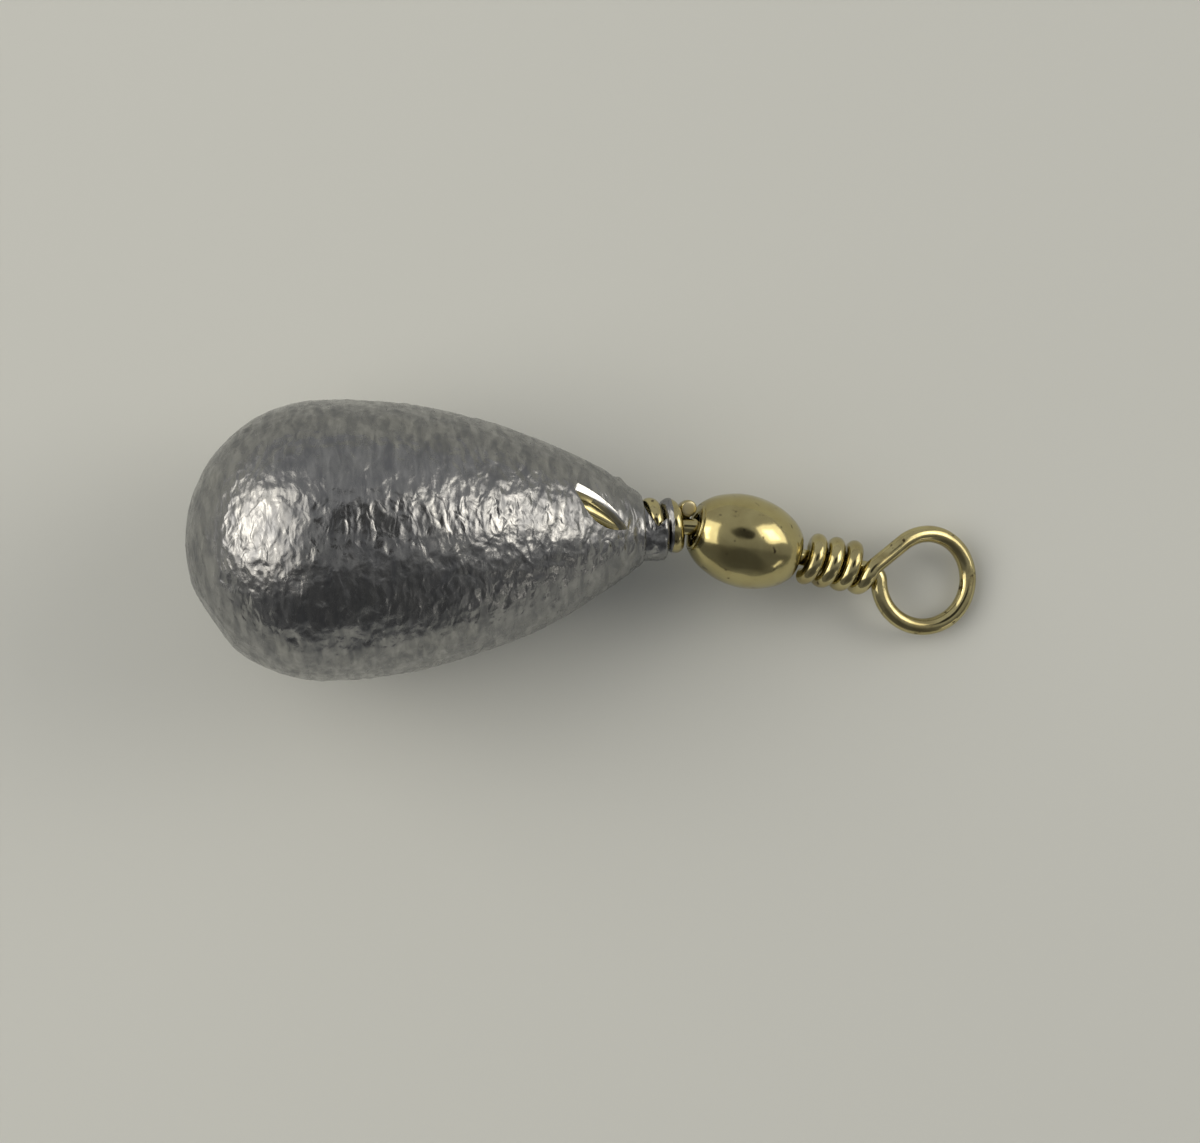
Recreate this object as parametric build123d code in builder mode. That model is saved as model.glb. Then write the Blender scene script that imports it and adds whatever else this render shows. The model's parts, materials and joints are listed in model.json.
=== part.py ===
from build123d import *
import os
from math import acos, asin, cos, degrees, hypot, isclose, radians, sin, sqrt

# A lead fishing sinker with a brass barrel swivel cast into its nose, lying on its side.
# Millimetres and degrees. +X runs from the butt to the line eye, +Z is up from the surface it lies on.

# Lead body: a half ball, an ogive nose and a collar round the swivel's wraps
lead_radius = 5.8
nose_length = 13.2
neck_radius = 1.45
collar_radius = 1.33
collar_length = 1.05
collar_round = 0.12
collar_open_height = 0.41
gate_flat_diameter = 3.06
gate_flat_turn = 32.0

# Slit in the nose, where the lead ran short over the wire
slit_length = 3.03
slit_upper_bulge = 0.37
slit_lower_bulge = 0.74
slit_bite = 0.25
slit_back = 0.09
slit_aside = 0.24
slit_slant = 24.6

# Swivel wire, the same for both eyes
wire_diameter = 0.71
wire_sides = 10
wrap_gap = 0.1
wrap_clearance = 0.06
loop_inner_diameter = 3.25
shank_bend_radius = 0.5
head_diameter = 1.4
head_height = 0.5
head_chamfer = 0.16
head_float = 0.27

# Swivel barrel
barrel_length = 4.6
barrel_diameter = 3.88
barrel_wall = 0.42
shoulder_from_middle = 1.7
shoulder_diameter = 3.0
shoulder_bulge = 0.04
rim_diameter = 1.93
end_wall = 0.4
hole_diameter = 1.0
rim_chamfer = 0.08

# How each eye is wrapped: from the rim to the cut end, turns from there to the crossing, and on to the loop
line_eye_stand_off = 0.5
line_eye_wrap_turns = 3.24
line_eye_neck = 0.68
cast_in_eye_stand_off = 0.3
cast_in_eye_wrap_turns = 2.6
cast_in_eye_neck = 1.39
cast_in_eye_roll = 25.0
first_wrap_angle = 30.0

# How the pieces lie: headings from the butt towards the line eye, turned from +X towards -Y and tipped down
rim_from_nose_end = 2.28
rest_pitch = 9.3
cast_in_eye_yaw = 5.5
barrel_yaw = 18.6
line_eye_yaw = 12.6

# Fits and cuts
cast_clearance = 0.01
seat_clearance = 0.03
overrun = 1.0

# Sizes that follow from the ones above
wire_radius = wire_diameter / 2
wrap_pitch = wire_diameter + wrap_gap
wrap_radius = wire_diameter + wrap_clearance
coil_radius = wrap_radius + wire_radius
loop_radius = (loop_inner_diameter + wire_diameter) / 2
pivot_depth = end_wall / 2
line_eye_crossing = pivot_depth + line_eye_stand_off + wrap_pitch * line_eye_wrap_turns
cast_in_eye_crossing = pivot_depth + cast_in_eye_stand_off + wrap_pitch * cast_in_eye_wrap_turns
line_eye_reach = line_eye_crossing + line_eye_neck + loop_radius
cast_in_eye_reach = cast_in_eye_crossing + cast_in_eye_neck + loop_radius
pivot_spacing = barrel_length - end_wall
nose_drop = lead_radius - neck_radius
nose_arc_radius = (nose_length**2 + nose_drop**2) / (2 * nose_drop)
nose_arc_depth = nose_arc_radius - lead_radius
first_pivot_from_middle = nose_length + rim_from_nose_end + pivot_depth


def heading(yaw, pitch):
    """Unit vector along +X, turned by yaw towards -Y and tipped down by pitch."""
    level = cos(radians(pitch))
    return Vector(level * cos(radians(yaw)), -level * sin(radians(yaw)), -sin(radians(pitch)))


# Places: the nose arc lies on the surface, and the swivel droops until its far loop lies there too
middle_height = nose_arc_radius - nose_arc_depth * cos(radians(rest_pitch))
lead_way = heading(0, rest_pitch)
first_pivot_height = middle_height - first_pivot_from_middle * sin(radians(rest_pitch))
swivel_run = pivot_spacing + line_eye_reach + loop_radius
swivel_pitch = degrees(asin((first_pivot_height - wire_radius) / swivel_run))
cast_in_eye_way = heading(cast_in_eye_yaw, rest_pitch)
barrel_way = heading(barrel_yaw, swivel_pitch)
line_eye_way = heading(line_eye_yaw, swivel_pitch)
line_eye_up = heading(line_eye_yaw, swivel_pitch - 90)

chain = lead_way * first_pivot_from_middle + barrel_way * pivot_spacing + line_eye_way * line_eye_reach
reach = chain.X + loop_radius * sqrt(1 - line_eye_up.X**2) + wire_radius
lead_middle = Vector((lead_radius - reach) / 2, 0, middle_height)
first_pivot = lead_middle + lead_way * first_pivot_from_middle
second_pivot = first_pivot + barrel_way * pivot_spacing

side_way = Vector(0, 1, 0)
up_way = Vector(0, 0, 1)


def eye_plane(pivot, outward, face_way):
    """Plane of an eye: Z outward along the shank and Y towards the side where the wire crosses over."""
    return Plane(pivot, x_dir=face_way.cross(outward), z_dir=outward)


line_eye_plane = eye_plane(second_pivot, line_eye_way, up_way)
cast_in_face_way = Vector(0, -cos(radians(cast_in_eye_roll)), sin(radians(cast_in_eye_roll)))
cast_in_eye_plane = eye_plane(first_pivot, cast_in_eye_way * -1, cast_in_face_way)


def wire_stations(hand, turns, crossing_height, loop_from_pivot):
    """Points and headings of a wire in its eye's own axes: head to strand end, then the wraps."""
    head_height_in = -(pivot_depth + head_float)
    ahead = Vector(0, 0, 1)
    across = Vector(hand, 0, 0)

    # Shank, bend and the near half of the loop
    bend_start = loop_from_pivot - sqrt(loop_radius**2 + 2 * loop_radius * shank_bend_radius)
    bend_middle = ahead * bend_start - across * shank_bend_radius
    loop_middle = ahead * loop_from_pivot
    join_way = (loop_middle - bend_middle).normalized()
    join = bend_middle + join_way * shank_bend_radius
    join_heading = Vector(0, -hand, 0).cross(join_way)
    far_end = loop_middle + ahead * loop_radius
    loop = [
        (ahead * head_height_in, ahead),
        (ahead * bend_start, ahead),
        (join, join_heading),
        (loop_middle - across * loop_radius, ahead),
        (far_end, across),
    ]

    # Return strand, in a plane that rises from the far end to cross over the shank
    crossing = ahead * crossing_height + Vector(0, wrap_radius, 0)
    back_way = (crossing - far_end).normalized()
    strand_run = (crossing - far_end).length - loop_radius
    leave_turn = 180 - degrees(acos(loop_radius / strand_run))
    outward = across * sin(radians(leave_turn)) - back_way * cos(radians(leave_turn))
    leave = far_end + back_way * loop_radius + outward * loop_radius
    leave_heading = (crossing - leave).normalized()
    strand_end = crossing - leave_heading * wire_radius
    loop += [(leave, leave_heading), (strand_end, leave_heading)]

    # Wraps round the shank, in quarter turns that end at the cut
    wraps = []
    last_angle = turns * 360
    sink = wrap_pitch / radians(360)
    steps = round((last_angle - first_wrap_angle) / 90)
    for step in range(steps + 1):
        angle = first_wrap_angle + (last_angle - first_wrap_angle) * step / steps
        out = Vector(-hand * sin(radians(angle)), cos(radians(angle)), 0)
        along = Vector(-hand * cos(radians(angle)), -sin(radians(angle)), 0)
        height = crossing_height - wrap_pitch * angle / 360
        way = (along * wrap_radius - ahead * sink).normalized()
        wraps.append((out * wrap_radius + ahead * height, way))
    return loop, wraps


def wire_lines(plane, stations):
    """Lines and tangent arcs through a wire's stations, to be called inside a BuildLine block."""
    points = [plane.from_local_coords(point) for point, way in stations]
    ways = [
        plane.from_local_coords(point + way) - plane.from_local_coords(point)
        for point, way in stations
    ]
    for start, end, start_way, end_way in zip(points, points[1:], ways, ways[1:]):
        run = end - start
        both_ways = start_way + end_way
        turn = 2 * (1 - start_way.dot(end_way))
        if isclose(start_way.dot(end_way), 1):
            Line(start, end)
            continue
        run_ahead = run.dot(both_ways)
        reach_each = (sqrt(run_ahead**2 + turn * run.dot(run)) - run_ahead) / turn
        knee_in = start + start_way * reach_each
        knee_out = end - end_way * reach_each
        meet = (knee_in + knee_out) * 0.5
        TangentArc(start, meet, tangent=start_way)
        TangentArc(meet, end, tangent=knee_out - knee_in)


def least_gap(path):
    """Least gap between parts of a wire that lie more than two diameters apart along it."""
    step = wire_diameter / 6
    count = int(path.length / step)
    points = [path.position_at(index / count) for index in range(count + 1)]
    apart = int(2 * wire_diameter / step) + 1
    gaps = [
        (points[first] - points[second]).length
        for first in range(count + 1)
        for second in range(first + apart, count + 1)
    ]
    return min(gaps) - wire_diameter


line_eye_loop, line_eye_wraps = wire_stations(1, line_eye_wrap_turns, line_eye_crossing, line_eye_reach)
cast_in_eye_loop, cast_in_eye_wraps = wire_stations(
    -1, cast_in_eye_wrap_turns, cast_in_eye_crossing, cast_in_eye_reach
)


def wire_start_plane(plane, stations):
    """Plane across a wire at its first station."""
    return Plane(plane.from_local_coords(stations[0][0]), x_dir=plane.x_dir, z_dir=plane.z_dir)


def make_eye(plane, stations, section_turn):
    """One eye: an upset head under a wire that is bent to a loop and wrapped round its own shank."""
    head_plane = wire_start_plane(plane, stations)
    with BuildPart() as eye:
        with BuildLine() as route:
            wire_lines(plane, stations)
        with BuildSketch(head_plane):
            RegularPolygon(wire_radius, wire_sides, rotation=section_turn)
        sweep(path=route.wire())
        with BuildSketch(head_plane):
            Circle(head_diameter / 2)
        extrude(amount=-head_height)
        rounds = eye.edges().filter_by(GeomType.CIRCLE)
        chamfer(rounds.filter_by(lambda edge: isclose(edge.radius, head_diameter / 2)), head_chamfer)
    print(f"wire of {route.wire().length:.2f} mm, least gap to itself {least_gap(route.wire()):.3f} mm")
    return eye


os.makedirs("parts", exist_ok=True)

# Line eye, whose loop rests on a flat side of the wire
line_eye = make_eye(line_eye_plane, line_eye_loop + line_eye_wraps, -swivel_pitch)
line_eye.part.label = "line_eye"
export_step(line_eye.part, "parts/line_eye.step")

# Cast-in eye
cast_in_eye = make_eye(cast_in_eye_plane, cast_in_eye_loop + cast_in_eye_wraps, 0)
cast_in_eye.part.label = "cast_in_eye"
export_step(cast_in_eye.part, "parts/cast_in_eye.step")

# Swivel barrel: a tube closed in at both ends round the shanks
barrel_middle = first_pivot + barrel_way * (pivot_spacing / 2)
barrel_plane = Plane(barrel_middle, x_dir=barrel_way, z_dir=barrel_way.cross(up_way))
rim_x = barrel_length / 2
cavity_x = rim_x - end_wall
taper_share = (cavity_x - shoulder_from_middle) / (rim_x - shoulder_from_middle)
cavity_end_diameter = shoulder_diameter + (rim_diameter - shoulder_diameter) * taper_share
cavity_end_radius = cavity_end_diameter / 2 - barrel_wall
with BuildPart() as swivel_barrel:
    with BuildSketch(barrel_plane) as barrel_profile:
        with BuildLine():
            left_shoulder = (-shoulder_from_middle, shoulder_diameter / 2)
            right_shoulder = (shoulder_from_middle, shoulder_diameter / 2)
            left_rim = (-rim_x, rim_diameter / 2)
            right_rim = (rim_x, rim_diameter / 2)
            ThreePointArc(left_shoulder, (0, barrel_diameter / 2), right_shoulder)
            SagittaArc(right_shoulder, right_rim, shoulder_bulge)
            Polyline(
                right_rim,
                (rim_x, hole_diameter / 2),
                (cavity_x, hole_diameter / 2),
                (cavity_x, cavity_end_radius),
            )
            ThreePointArc(
                (cavity_x, cavity_end_radius),
                (0, barrel_diameter / 2 - barrel_wall),
                (-cavity_x, cavity_end_radius),
            )
            Polyline(
                (-cavity_x, cavity_end_radius),
                (-cavity_x, hole_diameter / 2),
                (-rim_x, hole_diameter / 2),
                left_rim,
            )
            SagittaArc(left_rim, left_shoulder, shoulder_bulge)
        make_face()
        ends = barrel_profile.vertices().group_by(Axis.X)
        chamfer(ends[0] + ends[-1], rim_chamfer)
    revolve(axis=Axis(barrel_middle, barrel_way))
swivel_barrel.part.label = "swivel_barrel"
export_step(swivel_barrel.part, "parts/swivel_barrel.step")

# Lead body: turned shape, gate flat, open side of the collar, slit, then the room that the wire takes up.
# Its profile lies in the level plane where the two halves of the mould part.
parting_plane = Plane(lead_middle, x_dir=lead_way, z_dir=heading(0, rest_pitch - 90))
nose_end = lead_middle + lead_way * nose_length
gate_way = lead_way * -cos(radians(gate_flat_turn)) - side_way * sin(radians(gate_flat_turn))
gate_from_middle = sqrt(lead_radius**2 - (gate_flat_diameter / 2) ** 2)

# The slit lies square to the nose, over the point where the strand leaves the loop
strand_point = cast_in_eye_plane.from_local_coords(cast_in_eye_loop[-2][0])
strand_from_middle = (strand_point - lead_middle).dot(lead_way)
strand_out = strand_point - lead_middle - lead_way * strand_from_middle
strand_from_arc_middle = hypot(strand_from_middle, strand_out.length + nose_arc_depth)
strand_cover = nose_arc_radius - strand_from_arc_middle
slit_slope = asin(strand_from_middle / strand_from_arc_middle)
slit_out = strand_out.normalized() * cos(slit_slope) + lead_way * sin(slit_slope)
slit_down = lead_way * cos(slit_slope) - strand_out.normalized() * sin(slit_slope)
slit_round = slit_out.cross(slit_down)
slit_way = slit_down * cos(radians(slit_slant)) - slit_round * sin(radians(slit_slant))
slit_top = strand_point + slit_out * strand_cover
slit_middle = slit_top - slit_way * slit_back - slit_out.cross(slit_way) * slit_aside
slit_plane = Plane(slit_middle, x_dir=slit_way, z_dir=slit_out)
slit_depth = strand_cover - wire_radius + slit_bite
seat_depth = cast_in_eye_crossing + wire_radius
cast_in_route = cast_in_eye_loop + cast_in_eye_wraps[:1]
with BuildPart() as lead_body:
    with BuildSketch(parting_plane) as lead_profile:
        with BuildLine():
            CenterArc((0, 0), lead_radius, 90, 90)
            TangentArc((0, lead_radius), (nose_length, neck_radius), tangent=(1, 0))
            Polyline(
                (nose_length, neck_radius),
                (nose_length, collar_radius),
                (nose_length + collar_length, collar_radius),
                (nose_length + collar_length, 0),
                (-lead_radius, 0),
            )
        make_face()
        collar_end = lead_profile.vertices().group_by(Axis.X)[-1]
        fillet(collar_end.sort_by(Axis.Y)[-1], collar_round)
    revolve(axis=Axis(lead_middle, lead_way))
    split(bisect_by=Plane(lead_middle + gate_way * gate_from_middle, z_dir=gate_way), keep=Keep.BOTTOM)
    with BuildSketch(Plane(nose_end, x_dir=side_way, z_dir=lead_way)):
        with Locations((collar_open_height, 0)):
            Rectangle(2 * neck_radius, 2 * neck_radius, align=(Align.MIN, Align.CENTER))
    extrude(amount=collar_length + overrun, mode=Mode.SUBTRACT)
    with BuildSketch(slit_plane):
        with BuildLine():
            SagittaArc((-slit_length / 2, 0), (slit_length / 2, 0), slit_upper_bulge)
            SagittaArc((slit_length / 2, 0), (-slit_length / 2, 0), slit_lower_bulge)
        make_face()
    extrude(amount=-slit_depth, mode=Mode.SUBTRACT)
    with BuildSketch(cast_in_eye_plane):
        Circle(coil_radius + seat_clearance)
    extrude(amount=seat_depth, mode=Mode.SUBTRACT)
    with BuildLine() as loop_route:
        wire_lines(cast_in_eye_plane, cast_in_route)
    with BuildSketch(wire_start_plane(cast_in_eye_plane, cast_in_route)):
        RegularPolygon(wire_radius + cast_clearance, wire_sides)
    sweep(path=loop_route.wire(), mode=Mode.SUBTRACT)
lead_body.part.label = "lead_body"
export_step(lead_body.part, "parts/lead_body.step")
print(f"swivel pitch {swivel_pitch:.2f} degrees, overall length {lead_radius + reach:.2f} mm")
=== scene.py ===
import bmesh
import bpy
import json
from math import acos, asin, atan2, cos, exp, hypot, pi, radians, sin, sqrt
from mathutils import Matrix, Vector, noise


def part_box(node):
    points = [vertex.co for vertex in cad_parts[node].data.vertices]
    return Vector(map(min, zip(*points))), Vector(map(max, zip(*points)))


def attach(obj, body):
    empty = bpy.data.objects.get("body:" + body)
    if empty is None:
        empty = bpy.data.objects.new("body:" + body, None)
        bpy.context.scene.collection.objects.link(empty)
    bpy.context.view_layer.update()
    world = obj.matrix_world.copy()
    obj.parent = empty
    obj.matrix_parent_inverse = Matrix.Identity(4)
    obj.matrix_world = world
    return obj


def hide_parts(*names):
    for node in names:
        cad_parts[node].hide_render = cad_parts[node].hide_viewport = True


# A lead fishing sinker with a brass barrel swivel cast into its nose.
# Sizes are in millimetres and angles in degrees; finished meshes are scaled to metres.

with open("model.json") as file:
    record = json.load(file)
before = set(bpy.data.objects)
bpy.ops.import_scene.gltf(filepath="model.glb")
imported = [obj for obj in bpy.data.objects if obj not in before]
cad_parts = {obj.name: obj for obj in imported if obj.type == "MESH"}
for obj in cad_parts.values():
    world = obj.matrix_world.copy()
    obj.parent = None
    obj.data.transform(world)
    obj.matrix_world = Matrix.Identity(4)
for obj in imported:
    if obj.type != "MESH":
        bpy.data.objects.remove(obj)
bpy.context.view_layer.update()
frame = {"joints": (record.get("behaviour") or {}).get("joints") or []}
METRES = 0.001

# Lead body
lead_radius = 5.8
nose_length = 13.2
neck_radius = 1.45
collar_radius = 1.33
collar_length = 1.05
collar_round = 0.2
gate_flat_diameter = 3.06
gate_flat_turn = 32.0
gate_flat_roughness = 0.02
gate_flat_grain = 0.3
rest_pitch = 9.3

# Open side of the collar: the points of its ragged edge, along from the neck step and aside from the axis
collar_open_height = 0.41
collar_edge = [(0.02, 0.98), (0.12, 0.72), (0.3, 0.42), (0.5, 0.14), (0.6, 0.1), (0.72, 0.26)]
collar_edge_end = 0.95
collar_edge_rise = 0.05
collar_cut_length = 1.6
collar_cut_reach = 2.0

# Swivel wire and how the two eyes are wrapped from it
wire_radius = 0.355
wire_uneven_share = 0.012
wire_waves_per_mm = 1.3
wrap_pitch = 0.81
wrap_radius = 0.77
loop_radius = 1.98
shank_bend_radius = 0.5
pivot_depth = 0.2
line_eye_stand_off = 0.5
line_eye_turns = 3.24
line_eye_neck = 0.68
cast_in_eye_stand_off = 0.3
cast_in_eye_turns = 2.6
cast_in_eye_neck = 1.39
cast_in_eye_roll = 25.0
cast_in_eye_yaw = 5.5
first_wrap_angle = 30.0

# Head of a wire in shares of its height and radius, then its neck and its cut end along the wire
head_radius = 0.7
head_height = 0.5
head_float = 0.27
head_shares = [(-1, 0.62), (-0.93, 0.84), (-0.8, 0.96), (-0.6, 1.0), (-0.35, 1.0), (-0.15, 0.95)]
head_neck_reaches = [-0.02, 0.04]
head_neck_radius_shares = [1.25, 1.04]
nip_reaches = [0.03, 0.06, 0.075, 0.08]
nip_radius_shares = [0.97, 0.9, 0.8, 0.5]

# Places in a wire's list of stations
far_end_station = 4
strand_leave_station = 5
first_wrap_station = 7

# Swivel barrel
barrel_length = 4.6
barrel_radius = 1.94
barrel_wall = 0.42
shoulder_from_middle = 1.7
shoulder_radius = 1.5
shoulder_bulge = 0.04
rim_radius = 0.965
rim_round = 0.09
rim_round_start = 75.0
end_wall = 0.4
hole_radius = 0.5
cavity_end_share = 0.75
barrel_dent_share = 0.008
barrel_dents_per_mm = 0.8
barrel_ripple_share = 0.003
barrel_ripples_per_mm = 2.3

# Slit in the nose, its lip in shares of the lip's depth and width, and the strand raised under it
slit_length = 3.03
slit_lower_bulge = 0.74
slit_inner_bulge = 0.2
slit_back = 0.09
slit_aside = 0.24
slit_slant = 24.6
slit_blunt_share = 0.93
slit_lip_width = 0.36
slit_lip_depth = 0.1
slit_lip_shares = [(1.0, 0.0), (0.8, 0.1), (0.45, 0.5), (0.0, 1.0)]
slit_overrun = 0.3
slit_overrun_share = 1.3
strand_lift = 0.5
strand_rise_shares = (0.2, 0.85)
strand_fall_shares = (0.88, 1.0)

# Thin lead that ran over one turn of the wraps, from one quarter turn of the wire to another
film_thickness = 0.045
film_sink = 0.03
film_end = 14.46
film_quarter_turns = (5, 9)
film_rise_shares = (0.1, 0.25)
film_fall_shares = (0.8, 0.98)
film_edge_roughness = 0.05
film_edge_grain = 0.4
film_cut_reach = 2.0
film_cut_height = 3.0

# Room round the cast-in wire
film_clearance = 0.008
channel_clearance = 0.012
wrap_seat_clearance = 0.03

# Relief of the cast skin: heights, and the lengths over which each form of it varies
swell_height = 0.07
swell_length = 4.2
hollow_height = 0.03
hollow_length = 1.5
drift_length = 1.1
wrinkle_height = 0.024
wrinkle_length = 0.5
fine_wrinkle_height = 0.007
fine_wrinkle_length = 0.24
ring_height = 0.021
ring_pitch = 0.54
ring_rise = (-2.0, 0.0)
ring_fall = (4.5, 9.0)
ring_wander_share = 0.4
ring_wander_length = 1.2
ring_steady_share = 0.35
ring_patch_share = 0.65
ring_patch_length = 1.6
streak_width = 0.2
streak_length = 0.9
ring_streak_height = 0.009
plain_streak_height = 0.004
lip_height = 0.021
lip_from_neck = 0.09
lip_width = 0.07
lip_grain = 0.5
collar_skin_height = 0.03
collar_skin_length = 0.4
collar_skin_rise = 0.2
seam_height = 0.045
seam_width = 0.11
seam_grain = 0.35
seam_rise = (-4.0, 2.0)
relief_fade = (0.3, 1.2)

# Shifts that keep one form of unevenness from repeating another
swell_shift = Vector((3.1, 0, 0))
drift_shift = Vector((0, 7.3, 0))
fine_wrinkle_shift = Vector((5.2, 0, 0))
ring_patch_shift = Vector((0, 0, 9.1))
streak_shift = 4.4
film_edge_shift = 2.7

# Dents and bumps of the casting: place along its axis, turn from the top towards +Y, width and height
lead_marks = [
    (-1.86, -46, 0.24, -0.11),
    (-2.15, -41, 0.18, 0.045),
    (-3.16, 71, 0.2, -0.09),
    (11.6, 84, 0.35, 0.05),
    (12.38, 83, 0.22, 0.13),
    (12.74, 86, 0.15, -0.11),
    (-0.9, -30, 0.5, -0.08),
    (-1.6, -23, 0.35, 0.06),
    (-0.5, -38, 0.3, 0.05),
    (0.9, -32, 0.35, -0.06),
    (1.2, -50, 0.3, 0.05),
    (-1.3, -40, 0.28, -0.06),
    (0.4, -45, 0.6, -0.08),
    (2.1, -62, 0.4, -0.04),
]

# Fineness of the meshes
lead_segments = 360
coarse_rings = 196
fine_rings = 52
fine_reach = 1.1
collar_end_shares = (0.3, 0.6, 0.9)
sharp_edge_angle = 50.0
wire_sides = 32
wire_step = 0.05
least_arc_steps = 3
straight_angle = 0.01
straight_turn = 1e-9
barrel_segments = 144
belly_steps = 40
cavity_steps = 16
shoulder_steps = 8
rim_steps = 5
slit_steps = 40
slit_height_steps = 6
film_sides = 40
film_edge_steps = 24
channel_sides = 24
channel_stride = 2
seat_sides = 64
seat_steps = 8

# Camera, floor and windows, each window as its direction, distance, width, height and power
camera_place = Vector((0.56, -1.69, 200.0))
camera_roll = -2.1
camera_clip = 1.0
frame_width = 49.56
sensor_width = 36.0
floor_size = 1200.0
floor_height = -0.03
windows = {
    "left_window": ((-0.75, 0.20, 0.63), 420, 480, 400, 0.95),
    "left_sky": ((-0.84, 0.17, 0.52), 410, 230, 130, 0.26),
    "right_window": ((0.84, 0.28, 0.46), 460, 330, 330, 0.58),
    "right_sky": ((0.82, 0.25, 0.52), 450, 160, 110, 0.13),
    "low_window": ((0.70, -0.68, 0.19), 460, 120, 50, 0.025),
}

along = Vector((1, 0, 0))
side = Vector((0, 1, 0))
up = Vector((0, 0, 1))


def smooth_step(low, high, value):
    """0 below low, 1 above high, and a smooth rise between them."""
    share = min(max((value - low) / (high - low), 0), 1)
    return share * share * (3 - 2 * share)


def unevenness(point, length, shift=Vector()):
    """Smooth noise from about -1 to 1 that varies over a length."""
    return noise.noise(point / length + shift)


def heading(yaw, pitch):
    """Unit vector along +X, turned by yaw towards -Y and tipped down by pitch."""
    level = cos(radians(pitch))
    return Vector((level * cos(radians(yaw)), -level * sin(radians(yaw)), -sin(radians(pitch))))


def axes(origin, x_way, y_way, z_way):
    """Matrix from a piece's own axes to the frame."""
    turn = Matrix((x_way, y_way, z_way)).transposed().to_4x4()
    return Matrix.Translation(origin) @ turn


# Places, from the frame
joints = {joint["name"]: joint for joint in frame["joints"]}
first_pivot = Vector(joints["barrel_spin"]["pos_m"]) / METRES
second_pivot = Vector(joints["eye_spin"]["pos_m"]) / METRES
barrel_way = Vector(joints["barrel_spin"]["axis"]).normalized()
line_eye_way = Vector(joints["eye_spin"]["axis"]).normalized()
lead_low, lead_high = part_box("lead_body")
lead_middle = Vector((lead_low.x / METRES + lead_radius, 0, lead_high.z / METRES - lead_radius))
lead_way = heading(0, rest_pitch)
lead_up = heading(0, rest_pitch - 90)
lead_axes = axes(lead_middle, lead_way, side, lead_up)


def eye_axes(pivot, outward, face_way):
    """Axes of an eye: Z outward along the shank and Y towards the side where the wire crosses over."""
    x_way = face_way.cross(outward).normalized()
    return axes(pivot, x_way, outward.cross(x_way), outward)


line_eye_axes = eye_axes(second_pivot, line_eye_way, up)
cast_in_way = heading(cast_in_eye_yaw, rest_pitch)
cast_in_face = Vector((0, -cos(radians(cast_in_eye_roll)), sin(radians(cast_in_eye_roll))))
cast_in_axes = eye_axes(first_pivot, -cast_in_way, cast_in_face)
line_eye_crossing = pivot_depth + line_eye_stand_off + wrap_pitch * line_eye_turns
cast_in_crossing = pivot_depth + cast_in_eye_stand_off + wrap_pitch * cast_in_eye_turns
line_eye_reach = line_eye_crossing + line_eye_neck + loop_radius
cast_in_reach = cast_in_crossing + cast_in_eye_neck + loop_radius


# Meshes


def new_object(name, verts, faces, placement, smooth=True):
    """Mesh object from points in a piece's own axes."""
    mesh = bpy.data.meshes.new(name)
    mesh.from_pydata([placement @ Vector(vert) for vert in verts], [], faces)
    tidy = bmesh.new()
    tidy.from_mesh(mesh)
    bmesh.ops.recalc_face_normals(tidy, faces=tidy.faces)
    tidy.to_mesh(mesh)
    tidy.free()
    mesh.polygons.foreach_set("use_smooth", [smooth] * len(mesh.polygons))
    made = bpy.data.objects.new(name, mesh)
    bpy.context.scene.collection.objects.link(made)
    return made


def ring_faces(ring_count, sides, closed_start, closed_end):
    """Quads between rings of points, with an end closed by a fan to the point that follows the rings."""
    faces = []
    for ring in range(ring_count - 1):
        for step in range(sides):
            after = (step + 1) % sides
            low, high = ring * sides, (ring + 1) * sides
            faces.append((low + step, low + after, high + after, high + step))
    last = (ring_count - 1) * sides
    tip = ring_count * sides
    if closed_start:
        faces += [((step + 1) % sides, step, tip) for step in range(sides)]
        tip += 1
    if closed_end:
        faces += [(last + step, last + (step + 1) % sides, tip) for step in range(sides)]
    return faces


def tube(route, radii, sides):
    """Rings of points along a route, turned as little as possible from one to the next."""
    verts = []
    across = None
    for index, point in enumerate(route):
        way = (route[min(index + 1, len(route) - 1)] - route[max(index - 1, 0)]).normalized()
        if across is None:
            across = way.orthogonal()
        across = (across - way * across.dot(way)).normalized()
        other = way.cross(across)
        for step in range(sides):
            angle = 2 * pi * step / sides
            verts.append(point + (across * cos(angle) + other * sin(angle)) * radii[index])
    return verts


def closed_tube(name, route, radii, sides, placement):
    """Closed tube along a route, for cutting or joining."""
    verts = tube(route, radii, sides)
    verts += [route[0], route[-1]]
    return new_object(name, verts, ring_faces(len(route), sides, True, True), placement)


def prism(name, outline, half_height, placement):
    """Closed prism of an outline in X and Y, as far below that plane as above it."""
    sides = len(outline)
    verts = [(x, y, height) for height in (-half_height, half_height) for x, y in outline]
    faces = [(step, (step + 1) % sides, sides + (step + 1) % sides, sides + step) for step in range(sides)]
    faces += [tuple(reversed(range(sides))), tuple(range(sides, 2 * sides))]
    return new_object(name, verts, faces, placement, smooth=False)


def boolean(target, tool, operation):
    """Cuts or joins a closed mesh with another, which is then removed."""
    bpy.context.view_layer.update()
    change = target.modifiers.new(operation, "BOOLEAN")
    change.operation = operation
    change.solver = "MANIFOLD"
    change.object = tool
    graph = bpy.context.evaluated_depsgraph_get()
    mesh = bpy.data.meshes.new_from_object(target.evaluated_get(graph))
    target.modifiers.clear()
    target.data = mesh
    bpy.data.objects.remove(tool)


def mark_faces(piece, name, wanted):
    """Face attribute that is 1 on the wanted faces and 0 on the others."""
    marks = piece.data.attributes.new(name, "FLOAT", "FACE")
    marks.data.foreach_set("value", [1.0 if wanted(face) else 0.0 for face in piece.data.polygons])


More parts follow.
